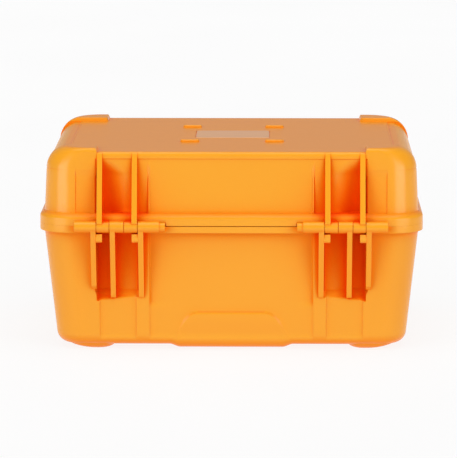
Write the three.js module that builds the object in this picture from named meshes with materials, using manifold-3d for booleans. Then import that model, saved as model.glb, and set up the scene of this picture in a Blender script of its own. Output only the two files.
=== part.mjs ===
// Hard equipment case: a base tub and a lid, hinged at the back on two pin hinges, shut at the
// front by two draw latches, with a folding carrying handle and a purge valve between them.
//
// Frame: millimetres, +Z up. The origin is on the floor under the middle of the case.
// -Y is the front (latches and handle), +Y the back (hinges), +X the case's left-hand side.
// "out" is a distance from the middle plane towards the front or the back: out = |y|.
import * as THREE from 'three';
import { mergeVertices } from 'three/addons/utils/BufferGeometryUtils.js';
import Module from 'manifold-3d';

const wasm = await Module();
wasm.setup();

// ---------- driving dimensions ----------
const FRONT = -1;
const BACK = 1;
const GAP = 0.3; // between pieces that touch
const PIN_CLEARANCE = 0.3; // radial, round every pin
const WALL = 4.2;

const RIM = { x: 250, y: 195, corner: 44 }; // half-sizes of the rim, the widest part
const RIM_UNDER = 158; // underside of the base rim
const RIM_TOP = 167.55; // top face of the base rim
const LID_FOOT = 167.85; // bottom face of the lid rim
const LID_RIM_TOP = 176; // where the lid rim starts to slope back to the wall
const LID_WALL_FOOT = 183.5; // where that slope meets the lid wall
const LID_TOP = 263;
const TOP_PANEL_X = 211; // half the length of the flat panel on the lid top
const PAD_RISE = 5; // the corner pads stand this far above the lid top

const FLOOR_Z = 8; // underside of the base between its feet
const FLOOR = { x: 228, y: 172, corner: 34 }; // half-sizes where the walls would meet the floor
const FLOOR_ROUND = 14;
const BASE_DRAFT = 16 / 150; // run per rise of the base walls
const BASE_CORNER_DRAFT = 4 / 150;
const LID_WALL = { x: 243.8, y: 188.3, corner: 38 }; // half-sizes at the foot of the lid wall
const LID_DRAFT = 0.045;
const LID_SIDE_ROUND = 28; // top edge along the two ends
const LID_LONG_ROUND = 5; // top edge along the front and the back

const PANEL_SINK = 1.5; // the flat wall panels lie this far behind the corners
const POCKET = { x0: 108, x1: 177 }; // recesses that hold the hinges and the latches
const POCKET_RISE = { base: 9, lid: 8.5 }; // their floors rise by this much towards the middle of the case
const HINGE = { out: 200.5, z: 167.05, radius: 7.5, pin: 2.2, collar: 6.2 };
const KNUCKLE_SWEEP = 8.2; // what stands next to a turning knuckle is cut back to this radius
const RIB = 7;
const LID_KNUCKLES = [[121.6, 138], [158.2, 173.8]];
const BASE_KNUCKLES = [[93, 120.4], [139.2, 157], [175, 201]];
const COLLARS = [[85.4, 94]]; // the slimmer inner ends of the base knuckles
const OUTER_TAPER = { x0: 201, x1: 203.4, radius: 5.6 }; // the outer ends run out into the rim
const LID_RIBS = [[121.6, 121.6 + RIB], [173.8 - RIB, 173.8]];
const BASE_BACK_RIBS = [[120.4 - RIB, 120.4], [157 - RIB, 157], [175, 175 + RIB]];
const STOP_LUGS = [[120, 128.6], [166.8, 175.4]]; // the lid ribs land on these at 105 degrees

const SEAL = { rimInset: 2.2, width: 6.2, top: 175 }; // the groove in the lid rim
const TONGUE = { width: 2.6, top: 171.3 };

const LATCH = { x: 147.7, halfWidth: 18, pinOut: 201, pinZ: 197, leverOut: 201.5, leverZ: 158, pin: 2 };
const HANDLE = { armX: 72, armHalf: 4.6, out: 200.5, z: 148, pin: 2.5 };
const GRIP = { out: 199, z: 100 };
const VALVE_Z = 138;
const PADLOCK = { x: 98, out: 200, radius: 3.8, sleeve: 5.2 };
const PLATE = { x: 49, y: 38, corner: 5, sink: 1.2 };

// ---------- materials ----------
const material = (color, roughness, metalness = 0) =>
  new THREE.MeshStandardMaterial({ color, roughness, metalness });
const orangePlastic = material(0xf4901e, 0.48);
const blackPlastic = material(0x1b1c1e, 0.5);
const blackRubber = material(0x151515, 0.85);
const steel = material(0xb9bcc0, 0.3, 1);

// ---------- solids from three.js geometry ----------
function solid(geometry) {
  const bare = geometry.clone();
  bare.deleteAttribute('normal');
  bare.deleteAttribute('uv');
  const merged = mergeVertices(bare, 1e-4);
  const mesh = new wasm.Mesh({
    numProp: 3,
    vertProperties: merged.attributes.position.array,
    triVerts: Uint32Array.from(merged.index.array),
  });
  return new wasm.Manifold(mesh);
}

function box(x0, x1, y0, y1, z0, z1) {
  const geometry = new THREE.BoxGeometry(x1 - x0, Math.abs(y1 - y0), z1 - z0);
  return solid(geometry.translate((x0 + x1) / 2, (y0 + y1) / 2, (z0 + z1) / 2));
}

// A solid of one side profile, given as [out, z] corners, from x0 to x1 at the front or the back.
function sideProfile(side, x0, x1, corners) {
  const shape = new THREE.Shape(corners.map(([out, z]) => new THREE.Vector2(side * out, z)));
  return extrudeAlongX(shape, x0, x1);
}

function extrudeAlongX(shape, x0, x1, riseNearMiddle = 0) {
  const geometry = new THREE.ExtrudeGeometry(shape, { depth: x1 - x0, bevelEnabled: false, curveSegments: 6 });
  const turn = new THREE.Matrix4().makeBasis(
    new THREE.Vector3(0, 1, 0), new THREE.Vector3(0, 0, 1), new THREE.Vector3(1, 0, 0));
  geometry.applyMatrix4(turn).translate(x0, 0, 0);
  const middle = (Math.abs(x0) + Math.abs(x1)) / 2;
  const { position } = geometry.attributes;
  for (let i = 0; i < position.count; i++) {
    if (Math.abs(position.getX(i)) < middle) position.setY(i, position.getY(i) + riseNearMiddle);
  }
  return solid(geometry);
}

// A pocket's cut, or the backing behind it: its floor is slanted, nearer to the wall at the middle.
function slantedProfile(side, x0, x1, corners, rise) {
  const shape = new THREE.Shape(corners.map(([out, z]) => new THREE.Vector2(side * out, z)));
  return extrudeAlongX(shape, x0, x1, side * rise);
}

function rodX(side, x0, x1, out, z, radius, sides = 20) {
  const geometry = new THREE.CylinderGeometry(radius, radius, x1 - x0, sides);
  return solid(geometry.rotateZ(Math.PI / 2).translate((x0 + x1) / 2, side * out, z));
}

function rodY(side, x, z, out0, out1, radius, sides = 24) {
  const geometry = new THREE.CylinderGeometry(radius, radius, out1 - out0, sides);
  return solid(geometry.translate(x, side * (out0 + out1) / 2, z));
}

function rodZ(x, y, z0, z1, radius, sides = 20) {
  const geometry = new THREE.CylinderGeometry(radius, radius, z1 - z0, sides);
  return solid(geometry.rotateX(Math.PI / 2).translate(x, y, (z0 + z1) / 2));
}

const CORNER_STEPS = 5;

// A level section of the case: a rounded rectangle round (x, y) at height z.
const section = (z, a, b, corner, x = 0, y = 0) => ({ z, a, b, corner, x, y });

function sectionPoints({ z, a, b, corner, x, y }) {
  const quadrants = [[1, 1], [-1, 1], [-1, -1], [1, -1]];
  return quadrants.flatMap(([sx, sy], q) =>
    Array.from({ length: CORNER_STEPS + 1 }, (_, i) => {
      const angle = (q + i / CORNER_STEPS) * Math.PI / 2;
      return [
        x + sx * (a - corner) + corner * Math.cos(angle),
        y + sy * (b - corner) + corner * Math.sin(angle),
        z,
      ];
    }));
}

// A solid skinned over a stack of sections, from the lowest to the highest.
function loft(sections) {
  const rings = sections.map(sectionPoints);
  const n = rings[0].length;
  const points = rings.flat();
  const faces = [];
  for (let ring = 0; ring + 1 < rings.length; ring++) {
    for (let i = 0; i < n; i++) {
      const a = ring * n + i;
      const b = ring * n + (i + 1) % n;
      faces.push(a, b, b + n, a, b + n, a + n);
    }
  }
  const bottom = points.length;
  const top = bottom + 1;
  const last = (rings.length - 1) * n;
  points.push([sections[0].x, sections[0].y, sections[0].z]);
  points.push([sections.at(-1).x, sections.at(-1).y, sections.at(-1).z]);
  for (let i = 0; i < n; i++) {
    faces.push(bottom, (i + 1) % n, i, top, last + i, last + (i + 1) % n);
  }
  const geometry = new THREE.BufferGeometry();
  geometry.setAttribute('position', new THREE.Float32BufferAttribute(points.flat(), 3));
  return solid(geometry.setIndex(faces));
}

const joined = (solids) => solids.reduce((all, next) => all.add(next));
const bothEnds = (make) => joined([make(([x0, x1]) => [x0, x1]), make(([x0, x1]) => [-x1, -x0])]);

// ---------- outlines of the two shells ----------
const roundInset = (radius, depth) =>
  radius - Math.sqrt(radius ** 2 - Math.min(radius, Math.max(0, depth)) ** 2);

// Outer face of the base walls at height z, moved out by grow; drop lowers the floor edge.
function baseWall(z, grow = 0, drop = 0) {
  const curl = roundInset(FLOOR_ROUND, FLOOR_Z - drop + FLOOR_ROUND - z);
  const flare = (z - FLOOR_Z) * BASE_DRAFT - curl + grow;
  const corner = FLOOR.corner + (z - FLOOR_Z) * BASE_CORNER_DRAFT - curl + grow;
  return section(z, FLOOR.x + flare, FLOOR.y + flare, corner);
}

// Outer face of the lid walls at height z; lift raises the top edge.
function lidWall(z, grow = 0, lift = 0) {
  const lean = (z - lift - LID_WALL_FOOT) * LID_DRAFT;
  const curlX = roundInset(LID_SIDE_ROUND, z - lift - (LID_TOP - LID_SIDE_ROUND));
  const curlY = roundInset(LID_LONG_ROUND, z - lift - (LID_TOP - LID_LONG_ROUND));
  const corner = LID_WALL.corner - curlY + grow;
  return section(z, LID_WALL.x - lean - curlX + grow, LID_WALL.y - lean - curlY + grow, corner);
}

const rimSection = (z, inset) => section(z, RIM.x - inset, RIM.y - inset, RIM.corner - inset);

const floorRounding = (drop) => [0, 0.12, 0.3, 0.55, 1].map((part) => FLOOR_Z - drop + FLOOR_ROUND * part);
const lidRounding = (lift) => [28, 19, 11.5, 6, 3.4, 1.5, 0.5, 0].map((below) => LID_TOP + lift - below);

function baseOuter(grow = 0, drop = 0) {
  return loft([...floorRounding(drop), RIM_UNDER].map((z) => baseWall(z, grow, drop)));
}

function lidOuter(grow = 0, lift = 0) {
  return loft([LID_RIM_TOP, ...lidRounding(lift)].map((z) => lidWall(z, grow, lift)));
}

// Material that backs the pockets from inside, so that the wall behind them keeps its thickness.
function pocketBacking(range, side, profile, rise) {
  return bothEnds((at) => slantedProfile(side, ...at(range), profile, rise));
}

// ---------- base ----------
const BASE_POCKET = [[174, 158.5], [168.5, 80], [171, 71], [176, 66.5], [181, 65], [230, 65], [230, 158.5]];
const BASE_BACKING = [[170, 170], [164.5, 80], [164.5, 58], [200, 58], [200, 170]];
const LID_POCKET = [[174.5, 181], [177.5, 215], [179.5, 236], [182.5, 250], [186.5, 259], [230, 259], [230, 181]];
const LID_BACKING = [[170.3, 160], [173.3, 216], [175.3, 240], [175.3, 270], [210, 270], [210, 160]];

// The foot of the back wall carries a raised pad, so that the case can stand on its back.
function standingPad(side) {
  const outline = new THREE.Shape();
  outline.moveTo(-69, 0);
  outline.quadraticCurveTo(-72, 8, -82, 8.6);
  outline.lineTo(-72, 16);
  outline.quadraticCurveTo(-62, 50.6, -43, 50.6);
  outline.lineTo(43, 50.6);
  outline.quadraticCurveTo(62, 50.6, 72, 16);
  outline.lineTo(82, 8.6);
  outline.quadraticCurveTo(72, 8, 69, 0);
  const geometry = new THREE.ExtrudeGeometry(outline, { depth: 60, bevelEnabled: false, curveSegments: 5 });
  geometry.rotateX(Math.PI / 2);
  const far = side === BACK ? 200 : -140;
  return baseOuter(1.5, 4).intersect(solid(geometry.translate(0, far, 0)));
}

function feet() {
  const sides = [[1, 1], [-1, 1], [-1, -1], [1, -1]];
  return joined(sides.map(([sx, sy]) => loft([
    section(0, 19, 17, 9, sx * 180, sy * 137),
    section(1.5, 21.5, 19.5, 11, sx * 180, sy * 137),
    section(FLOOR_Z + 3, 24, 22, 13, sx * 180, sy * 137),
  ])));
}

// Between the hinges the two rims stand a little further apart than elsewhere.
const partingGap = () => box(-85.4, 85.4, 191.5, 200, RIM_TOP - 0.9, RIM_TOP + 1);

function baseRim() {
  return loft([
    rimSection(RIM_UNDER - 0.01, 1),
    rimSection(RIM_UNDER + 1, 0),
    rimSection(RIM_TOP - 0.6, 0),
    rimSection(RIM_TOP, 0.6),
  ]);
}

function ringSolid(z0, z1, insetOut, insetIn) {
  const outer = loft([rimSection(z0, insetOut), rimSection(z1, insetOut)]);
  return outer.subtract(loft([rimSection(z0 - 1, insetIn), rimSection(z1 + 1, insetIn)]));
}

function baseBackRibs() {
  const profile = [[206.5, 165], [206, 158], [203.5, 148], [181.5, 75], [179.3, 70], [167, 70], [167, 80], [172, 158], [185, 165]];
  const lug = [[204.5, 158.4], [204.5, 149], [202.5, 147], [190, 147], [186, 158.4]];
  return bothEnds((at) => joined([
    ...BASE_BACK_RIBS.map((range) => sideProfile(BACK, ...at(range), profile)),
    ...STOP_LUGS.map((range) => sideProfile(BACK, ...at(range), lug)),
  ]));
}

function knuckles(ranges, webLow, webHigh, radius = HINGE.radius) {
  return bothEnds((at) => joined(ranges.map(at).flatMap(([x0, x1]) => [
    rodX(BACK, x0, x1, HINGE.out, HINGE.z, radius),
    box(x0, x1, 190, HINGE.out, webLow, webHigh),
  ])));
}

function outerTapers() {
  const { x0, x1, radius } = OUTER_TAPER;
  const cone = (end) => {
    const geometry = new THREE.CylinderGeometry(radius, HINGE.radius, x1 - x0, 20);
    return solid(geometry.rotateZ(-end * Math.PI / 2).translate(end * (x0 + x1) / 2, HINGE.out, HINGE.z));
  };
  const web = (at) => box(...at([x0 - 1, x1]), 190, HINGE.out, HINGE.z - radius, RIM_TOP);
  return joined([cone(1), cone(-1), bothEnds(web)]);
}

const knuckleSweep = (ranges) => bothEnds((at) => joined(ranges.map(([x0, x1]) =>
  rodX(BACK, ...at([x0 - 1.2, x1 + 1.2]), HINGE.out, HINGE.z, KNUCKLE_SWEEP))));

const hingeBore = () => bothEnds((at) => rodX(BACK, ...at([90, 199]), HINGE.out, HINGE.z, HINGE.pin + PIN_CLEARANCE));

function baseFrontRibs() {
  const guard = [[205, RIM_TOP], [206.5, 160], [206.5, 132], [203, 122], [182, 88], [168, 88], [172, 158], [185, RIM_TOP]];
  const lug = [[206.8, 154], [206.8, 140], [201, 131], [184, 122], [180, 122], [183, 158], [203, 158]];
  const x = HANDLE.armX;
  const lugs = [[x - 12, x - 5.6], [x + 5.6, x + 12]];
  return bothEnds((at) => joined([
    ...LID_RIBS.map((range) => sideProfile(FRONT, ...at(range), guard)),
    ...lugs.map((range) => sideProfile(FRONT, ...at(range), lug)),
  ]));
}

// The two tabs that a padlock's shackle goes through, one on each rim.
function padlockTabs(z0, z1) {
  return bothEnds((at) => {
    const [x0, x1] = at([PADLOCK.x - 9, PADLOCK.x + 9]);
    const y = (out) => FRONT * out;
    return box(x0, x1, y(RIM.y - 5), y(PADLOCK.out), z0, z1)
      .add(rodZ((x0 + x1) / 2, y(PADLOCK.out - 1.5), z0, z1, 9));
  });
}

// The bead under the base rim that the latch lever hooks behind.
const latchBeads = () => bothEnds((at) => sideProfile(FRONT, ...at([LATCH.x - 14, LATCH.x + 14]),
  [[193.1, 159], [193.4, 156.6], [194.2, 156.3], [194.9, 157], [194.9, 159]]));

const padlockHoles = () => joined([-PADLOCK.x, PADLOCK.x].map((x) =>
  rodZ(x, FRONT * PADLOCK.out, RIM_UNDER - 5, LID_RIM_TOP + 8, PADLOCK.sleeve + GAP)));

function sunkPanels(outer, sunk, ranges, z0, z1) {
  const cut = joined([FRONT, BACK].map((side) =>
    joined(ranges.map(([x0, x1]) => box(x0, x1, side * 150, side * 230, z0, z1)))));
  return outer.subtract(cut).add(sunk);
}

function baseShell() {
  const barsAndPanels = [[-106.4, 106.4], [126.5, 171.5], [-171.5, -126.5]];
  const walls = sunkPanels(baseOuter(), baseOuter(-PANEL_SINK), barsAndPanels, 16, RIM_UNDER - 4);
  const pockets = joined([FRONT, BACK].map((side) =>
    bothEnds((at) => slantedProfile(side, ...at([POCKET.x0, POCKET.x1]), BASE_POCKET, POCKET_RISE.base))));
  const backing = joined([FRONT, BACK].map((side) =>
    pocketBacking([POCKET.x0 - WALL, POCKET.x1 + WALL], side, BASE_BACKING, POCKET_RISE.base)));
  const cavity = loft([
    ...[12.2, 13.5, 16, 22].map((z) => ({ ...baseWall(z, -WALL, -4.2), z })),
    baseWall(RIM_UNDER, -WALL),
    { ...baseWall(RIM_UNDER, -WALL), z: RIM_TOP + 5 },
  ]).subtract(backing);
  const valveBoss = rodY(FRONT, 0, VALVE_Z, 178.9, 186.9, 15);
  const tongue = ringSolid(RIM_TOP - 1, TONGUE.top, SEAL.rimInset + (SEAL.width - TONGUE.width) / 2,
    SEAL.rimInset + (SEAL.width + TONGUE.width) / 2);
  return joined([walls, standingPad(BACK), standingPad(FRONT), feet()])
    .subtract(pockets)
    .add(baseRim())
    .subtract(knuckleSweep(LID_KNUCKLES))
    .add(baseBackRibs())
    .add(baseFrontRibs())
    .subtract(cavity)
    .subtract(partingGap())
    .add(knuckles(BASE_KNUCKLES, HINGE.z - HINGE.radius, RIM_TOP))
    .add(knuckles(COLLARS, HINGE.z - HINGE.collar, RIM_TOP, HINGE.collar))
    .add(outerTapers())
    .add(tongue)
    .add(padlockTabs(RIM_UNDER, RIM_TOP))
    .add(latchBeads())
    .add(valveBoss)
    .subtract(rodY(FRONT, 0, VALVE_Z, 170, 190, 8.3))
    .subtract(padlockHoles())
    .subtract(hingeBore())
    .subtract(bothEnds((at) => rodX(FRONT, ...at([HANDLE.armX - 14, HANDLE.armX + 14]),
      HANDLE.out, HANDLE.z, HANDLE.pin + PIN_CLEARANCE)));
}

// ---------- lid ----------
function cornerPads() {
  const reach = [[1, 1], [-1, 1], [-1, -1], [1, -1]];
  const corners = joined(reach.map(([sx, sy]) => loft([
    section(245, 46, 30, 6, sx * 220, sy * 171),
    section(LID_TOP + 1, 46, 30, 6, sx * 220, sy * 171),
    section(LID_TOP + PAD_RISE + 0.1, 43, 27.5, 4, sx * 220, sy * 171),
  ])));
  return lidOuter(-0.2, PAD_RISE).intersect(corners);
}

function topBumps() {
  const spots = [[1, 1], [-1, 1], [-1, -1], [1, -1]];
  return joined(spots.map(([sx, sy]) => loft([
    section(LID_TOP - 1, 13, 4, 3.9, sx * 56, sy * 77),
    section(LID_TOP + 1.6, 12.6, 3.4, 3.3, sx * 56, sy * 77),
    section(LID_TOP + 3, 11, 1.8, 1.7, sx * 56, sy * 77),
  ])));
}

function lidRibs() {
  const back = [[207, 166], [207.5, 172], [206.5, 180], [202, 197], [192, 236], [186.5, 254], [182, 260], [178, 260],
    [172.5, 215], [171, 178], [185, 172]];
  const front = [[200, LID_FOOT], [206.5, 186], [206.5, 202], [204, 208], [192, 236], [186.5, 254], [182, 260], [178, 260],
    [172.5, 215], [171, 178], [185, LID_FOOT]];
  return bothEnds((at) => joined(LID_RIBS.flatMap((range) => [
    sideProfile(BACK, ...at(range), back),
    sideProfile(FRONT, ...at(range), front),
  ])));
}

function lidRim() {
  return loft([
    rimSection(LID_FOOT, 0.6),
    rimSection(LID_FOOT + 0.6, 0),
    rimSection(LID_RIM_TOP, 0),
    rimSection(LID_RIM_TOP + 3.5, 1.6),
    rimSection(LID_RIM_TOP + 5.5, 3.8),
    rimSection(LID_WALL_FOOT, 6.6),
  ]);
}

function lidShell() {
  const flats = [[-110, 110], [126, 204], [-204, -126]];
  const walls = sunkPanels(lidOuter(), lidOuter(-1), flats, LID_RIM_TOP, LID_TOP - 10)
    .subtract(bothEnds((at) => box(...at([TOP_PANEL_X, 250]), -200, 200, LID_TOP - 0.8, LID_TOP + 1)));
  const pockets = joined([FRONT, BACK].map((side) =>
    bothEnds((at) => slantedProfile(side, ...at([POCKET.x0, POCKET.x1]), LID_POCKET, POCKET_RISE.lid))));
  const backing = joined([FRONT, BACK].map((side) =>
    pocketBacking([POCKET.x0 - WALL, POCKET.x1 + WALL], side, LID_BACKING, POCKET_RISE.lid)));
  const cavity = loft([
    { ...lidWall(LID_WALL_FOOT, -WALL), z: LID_FOOT - 5 },
    lidWall(LID_WALL_FOOT, -WALL),
    ...[235, 247, 254, 257.6, 258.8].map((z) => lidWall(z, -WALL, -WALL)),
  ]).subtract(backing);
  const groove = ringSolid(LID_FOOT - 1, SEAL.top, SEAL.rimInset, SEAL.rimInset + SEAL.width);
  const plateSeat = loft([LID_TOP - PLATE.sink, LID_TOP + 1].map((z) =>
    section(z, PLATE.x + 0.8, PLATE.y + 0.8, PLATE.corner + 0.8)));
  return walls
    .subtract(pockets)
    .add(lidRim())
    .subtract(knuckleSweep([...BASE_KNUCKLES, ...COLLARS, [OUTER_TAPER.x0, OUTER_TAPER.x1]]))
    .add(lidRibs())
    .add(cornerPads())
    .subtract(cavity)
    .add(knuckles(LID_KNUCKLES, LID_FOOT, HINGE.z + HINGE.radius))
    .add(topBumps())
    .add(padlockTabs(LID_FOOT, LID_RIM_TOP))
    .subtract(groove)
    .subtract(plateSeat)
    .subtract(padlockHoles())
    .subtract(hingeBore())
    .subtract(bothEnds((at) => rodX(FRONT, ...at([118, 178]), LATCH.pinOut, LATCH.pinZ, LATCH.pin + PIN_CLEARANCE)));
}

const lidSeal = () => ringSolid(TONGUE.top + 0.4, SEAL.top - GAP, SEAL.rimInset + GAP, SEAL.rimInset + SEAL.width - GAP);

// ---------- latches ----------
const latchRange = (end, from, to) => {
  const middle = end * LATCH.x;
  return [middle + from, middle + to];
};

// The link hangs on the lid and carries the lever between its two arms.
function latchLink(end) {
  const half = LATCH.halfWidth;
  const body = sideProfile(FRONT, ...latchRange(end, -half, half), [[196.2, 201], [198.2, 203], [203, 203],
    [207, 198.5], [207.2, 158], [205.3, 154.2], [201.5, 152.6], [197.8, 154.2], [196.2, 158]]);
  const slot = box(...latchRange(end, -12.6, 12.6), FRONT * 210, FRONT * 190, 140, 166);
  const lidPin = rodX(FRONT, ...latchRange(end, -half - 1, half + 1), LATCH.pinOut, LATCH.pinZ, LATCH.pin + PIN_CLEARANCE);
  const leverPin = rodX(FRONT, ...latchRange(end, -half - 1, half + 1), LATCH.leverOut, LATCH.leverZ, LATCH.pin + PIN_CLEARANCE);
  const dish = box(...latchRange(end, -13, 13), FRONT * 210, FRONT * 206, 171, 193);
  return body.subtract(slot).subtract(lidPin).subtract(leverPin).subtract(dish);
}

// The lever's nose hooks under the base rim; its tab is pulled outwards to let go.
function latchLever(end) {
  const barrel = rodX(FRONT, ...latchRange(end, -12.3, 12.3), LATCH.leverOut, LATCH.leverZ, 5.3);
  const nose = sideProfile(FRONT, ...latchRange(end, -12.3, 12.3), [[189.2, 152], [189.2, 156.4], [190, 157.5],
    [192.2, 157.5], [192.8, 155.8], [198, 155.6], [203, 152], [205.5, 149], [200, 147], [195, 150.5], [190.5, 151]]);
  const tab = sideProfile(FRONT, ...latchRange(end, -17.4, 17.4), [[199.4, 149.2], [206.2, 149.2], [207.4, 140],
    [207.6, 118], [206.5, 112], [203.2, 111], [202.6, 118], [201.5, 130]]);
  const pin = rodX(FRONT, ...latchRange(end, -13, 13), LATCH.leverOut, LATCH.leverZ, LATCH.pin + PIN_CLEARANCE);
  return joined([barrel, nose, tab]).subtract(pin);
}

const latchLidPin = (end) => rodX(FRONT, ...latchRange(end, -26, 26), LATCH.pinOut, LATCH.pinZ, LATCH.pin);
const latchLeverPin = (end) => rodX(FRONT, ...latchRange(end, -17.8, 17.8), LATCH.leverOut, LATCH.leverZ, LATCH.pin);

// ---------- handle ----------
function handleBail() {
  const x = HANDLE.armX;
  const arms = bothEnds((at) => sideProfile(FRONT, ...at([x - HANDLE.armHalf, x + HANDLE.armHalf]), [[196, 152], [198, 154],
    [203, 154], [205.6, 151], [206.8, 140], [206.8, 97], [204, 92.5], [195, 92.5], [192.5, 96], [193, 110], [195.4, 130], [195.4, 146]]));
  const bar = sideProfile(FRONT, -x, x, [[193, 96], [195.5, 93.5], [203, 93.5], [205.5, 96], [205.5, 104],
    [203, 106.5], [195.5, 106.5], [193, 104]]);
  const bores = bothEnds((at) => rodX(FRONT, ...at([x - 6, x + 6]), HANDLE.out, HANDLE.z, HANDLE.pin + PIN_CLEARANCE));
  return arms.add(bar).subtract(bores);
}

function handleGrip() {
  const outline = (grow, points) => points.map(([out, z]) => [GRIP.out + out * grow, GRIP.z + z * grow]);
  const outside = outline(1, [[-8.5, -5], [-5, -9.5], [5, -9.5], [9, -5], [9, 5], [5, 9.5], [-5, 9.5], [-8.5, 5]]);
  const sleeve = sideProfile(FRONT, -56, 56, outside);
  const fingerGrooves = joined([-42, -21, 0, 21, 42].map((x) => rodY(FRONT, x, GRIP.z - 27.6, 185, 215, 20)));
  const core = sideProfile(FRONT, -60, 60, [[192.7, 95.8], [195.3, 93.2], [203.2, 93.2], [205.8, 95.8],
    [205.8, 104.2], [203.2, 106.8], [195.3, 106.8], [192.7, 104.2]]);
  return sleeve.subtract(fingerGrooves).subtract(core);
}

const handlePin = (end) => {
  const middle = end * HANDLE.armX;
  return rodX(FRONT, middle - 11.8, middle + 11.8, HANDLE.out, HANDLE.z, HANDLE.pin);
};

// ---------- purge valve ----------
const valveBody = () => rodY(FRONT, 0, VALVE_Z, 171, 192, 8).add(rodY(FRONT, 0, VALVE_Z, 189.1, 192, 12, 32));
const valveGasket = () => rodY(FRONT, 0, VALVE_Z, 187.2, 188.8, 11.5, 32).subtract(rodY(FRONT, 0, VALVE_Z, 186, 190, 8.3));
const valveNut = () => rodY(FRONT, 0, VALVE_Z, 172.6, 178.6, 12.5, 6).subtract(rodY(FRONT, 0, VALVE_Z, 170, 180, 8.3));

function valveKnob() {
  const notches = Array.from({ length: 8 }, (_, i) => {
    const angle = i / 8 * 2 * Math.PI;
    return rodY(FRONT, 11 * Math.cos(angle), VALVE_Z + 11 * Math.sin(angle), 194, 202, 2.6, 12);
  });
  return rodY(FRONT, 0, VALVE_Z, 192.3, 199.5, 10, 32).subtract(joined(notches));
}

// ---------- small pieces ----------
const hingePin = (end) => {
  const [x0, x1] = end > 0 ? [93.5, 198.5] : [-198.5, -93.5];
  return rodX(BACK, x0, x1, HINGE.out, HINGE.z, HINGE.pin);
};

function padlockSleeve(end, z0, z1) {
  const y = FRONT * PADLOCK.out;
  return rodZ(end * PADLOCK.x, y, z0, z1, PADLOCK.sleeve).subtract(rodZ(end * PADLOCK.x, y, z0 - 1, z1 + 1, PADLOCK.radius));
}

const namePlate = () => loft([
  section(LID_TOP - PLATE.sink + GAP, PLATE.x, PLATE.y, PLATE.corner),
  section(LID_TOP - 0.1, PLATE.x, PLATE.y, PLATE.corner),
  section(LID_TOP + 0.2, PLATE.x - 0.4, PLATE.y - 0.4, PLATE.corner - 0.4),
]);

// ---------- the assembly ----------
const hardCase = new THREE.Group();

function piece(name, made, look) {
  const { vertProperties, triVerts } = made.getMesh();
  const geometry = new THREE.BufferGeometry();
  geometry.setAttribute('position', new THREE.BufferAttribute(vertProperties, 3));
  geometry.setIndex(new THREE.BufferAttribute(triVerts, 1));
  geometry.computeVertexNormals();
  const mesh = new THREE.Mesh(geometry, look);
  mesh.name = name;
  hardCase.add(mesh);
}

piece('base_shell', baseShell(), orangePlastic);
piece('lid_shell', lidShell(), orangePlastic);
piece('name_plate', namePlate(), orangePlastic);
piece('lid_seal', lidSeal(), blackRubber);
piece('handle_bail', handleBail(), blackPlastic);
piece('handle_grip', handleGrip(), blackRubber);
piece('valve_body', valveBody(), blackPlastic);
piece('valve_gasket', valveGasket(), blackRubber);
piece('valve_knob', valveKnob(), blackPlastic);
piece('valve_nut', valveNut(), blackPlastic);
for (const [hand, end] of [['left', 1], ['right', -1]]) {
  piece(`hinge_pin_${hand}`, hingePin(end), steel);
  piece(`latch_link_${hand}`, latchLink(end), blackPlastic);
  piece(`latch_lever_${hand}`, latchLever(end), blackPlastic);
  piece(`latch_lid_pin_${hand}`, latchLidPin(end), steel);
  piece(`latch_lever_pin_${hand}`, latchLeverPin(end), steel);
  piece(`handle_pin_${hand}`, handlePin(end), steel);
  piece(`padlock_sleeve_base_${hand}`, padlockSleeve(end, RIM_UNDER, RIM_TOP - 0.1), steel);
  piece(`padlock_sleeve_lid_${hand}`, padlockSleeve(end, LID_FOOT + 0.1, LID_RIM_TOP), steel);
}

export default hardCase;
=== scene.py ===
"""Looks for the hard equipment case: two moulded orange shells with their latches, handle and hinges.

Shapes are written in millimetres, in the CAD frame (+Z up, the hinges face +Y, the latches -Y), and
made into metres when their mesh is made. "out" is a distance from the middle plane towards the front
or the back. Every feature of a shell is part of its wall grid, or a small solid joined to it or cut
out of it.
"""

import math

import bmesh
import bpy
import numpy as np
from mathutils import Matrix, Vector


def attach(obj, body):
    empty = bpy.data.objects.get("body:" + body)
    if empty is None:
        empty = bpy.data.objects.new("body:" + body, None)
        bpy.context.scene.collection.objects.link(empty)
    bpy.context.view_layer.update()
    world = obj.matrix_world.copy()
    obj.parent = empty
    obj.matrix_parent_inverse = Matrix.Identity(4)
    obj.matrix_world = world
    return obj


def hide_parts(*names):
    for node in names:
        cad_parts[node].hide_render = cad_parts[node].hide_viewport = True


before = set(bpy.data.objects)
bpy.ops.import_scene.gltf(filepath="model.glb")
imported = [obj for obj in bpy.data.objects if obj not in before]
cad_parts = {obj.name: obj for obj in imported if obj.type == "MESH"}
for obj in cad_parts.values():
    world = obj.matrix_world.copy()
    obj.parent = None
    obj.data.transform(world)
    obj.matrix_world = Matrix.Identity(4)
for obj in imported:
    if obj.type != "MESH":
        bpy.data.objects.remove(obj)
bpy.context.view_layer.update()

MM = 0.001
FRONT, BACK = -1, 1
ENDS = (1, -1)
HANDS = (("left", 1), ("right", -1))
CORNERS = ((1, 1), (-1, 1), (-1, -1), (1, -1))

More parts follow.
